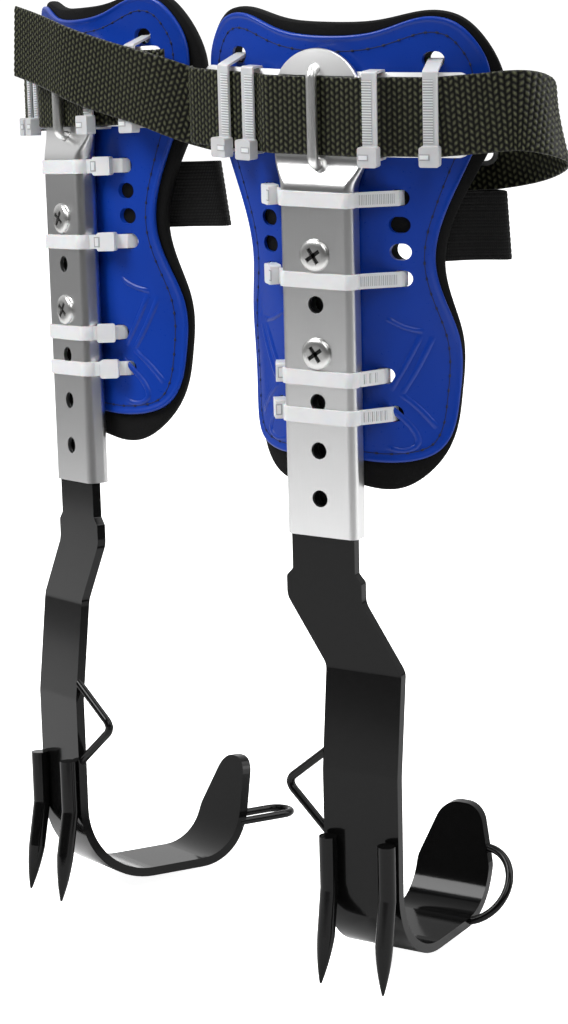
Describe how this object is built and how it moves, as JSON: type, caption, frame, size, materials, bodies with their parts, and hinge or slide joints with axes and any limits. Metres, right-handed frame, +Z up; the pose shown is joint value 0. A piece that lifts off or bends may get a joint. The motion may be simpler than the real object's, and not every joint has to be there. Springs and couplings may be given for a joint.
{
  "type": "tree climbing spikes",
  "caption": "Pair of leg irons for tree climbing: padded shin shells on flat tubes, webbing straps, stirrup bars with pointed spikes, and clamp screws that draw out.",
  "frame": {"origin": "middle of the right iron's tread, on its upper face", "axes": "+Z up along the shanks, +Y from the right shank back towards the leg, +X to the viewer's right"},
  "size_m": [0.3824, 0.1771, 0.5067],
  "materials": {
    "aluminium": "satin",
    "bright_steel": "polished",
    "zinc_steel": "satin",
    "black_steel": "gloss",
    "blue_shell": "gloss",
    "black_foam": "matte",
    "black_elastic": "matte",
    "olive_webbing": "matte",
    "white_nylon": "satin"
  },
  "bodies": {
    "irons": {"left_calf_strap": "olive_webbing", "left_cross_plate": "aluminium", "left_ear_loop": "black_steel", "left_elastic_band": "black_elastic", "left_foot_bar": "black_steel", "left_inner_spike": "black_steel", "left_lower_lock_plate": "zinc_steel", "left_outer_spike": "black_steel", "left_shank_tie_1": "white_nylon", "left_shank_tie_2": "white_nylon", "left_shank_tie_3": "white_nylon", "left_shank_tie_4": "white_nylon", "left_shank_tube": "aluminium", "left_shin_pad": "black_foam", "left_shin_shell": "blue_shell", "left_side_loop": "black_steel", "left_strap_staple": "bright_steel", "left_strap_tie_1": "white_nylon", "left_strap_tie_2": "white_nylon", "left_strap_tie_3": "white_nylon", "left_strap_tie_4": "white_nylon", "left_upper_lock_plate": "zinc_steel", "right_calf_strap": "olive_webbing", "right_cross_plate": "aluminium", "right_ear_loop": "black_steel", "right_elastic_band": "black_elastic", "right_foot_bar": "black_steel", "right_inner_spike": "black_steel", "right_lower_lock_plate": "zinc_steel", "right_outer_spike": "black_steel", "right_shank_tie_1": "white_nylon", "right_shank_tie_2": "white_nylon", "right_shank_tie_3": "white_nylon", "right_shank_tie_4": "white_nylon", "right_shank_tube": "aluminium", "right_shin_pad": "black_foam", "right_shin_shell": "blue_shell", "right_side_loop": "black_steel", "right_strap_eyelet": "bright_steel", "right_strap_staple": "bright_steel", "right_strap_tie_1": "white_nylon", "right_strap_tie_2": "white_nylon", "right_strap_tie_3": "white_nylon", "right_strap_tie_4": "white_nylon", "right_upper_lock_plate": "zinc_steel"},
    "right_upper_screw": {"right_upper_screw": "zinc_steel"},
    "right_lower_screw": {"right_lower_screw": "zinc_steel"},
    "left_upper_screw": {"left_upper_screw": "zinc_steel"},
    "left_lower_screw": {"left_lower_screw": "zinc_steel"}
  },
  "joints": [
    {"name": "right_upper_screw_draw", "type": "slide", "parent": "irons", "child": "right_upper_screw", "axis": [0, -1, 0], "range_m": [0, 0.022]},
    {"name": "right_lower_screw_draw", "type": "slide", "parent": "irons", "child": "right_lower_screw", "axis": [0, -1, 0], "range_m": [0, 0.022]},
    {"name": "left_upper_screw_draw", "type": "slide", "parent": "irons", "child": "left_upper_screw", "axis": [-0.4642, -0.8842, 0.0515], "range_m": [0, 0.022]},
    {"name": "left_lower_screw_draw", "type": "slide", "parent": "irons", "child": "left_lower_screw", "axis": [-0.4642, -0.8842, 0.0515], "range_m": [0, 0.022]}
  ]
}
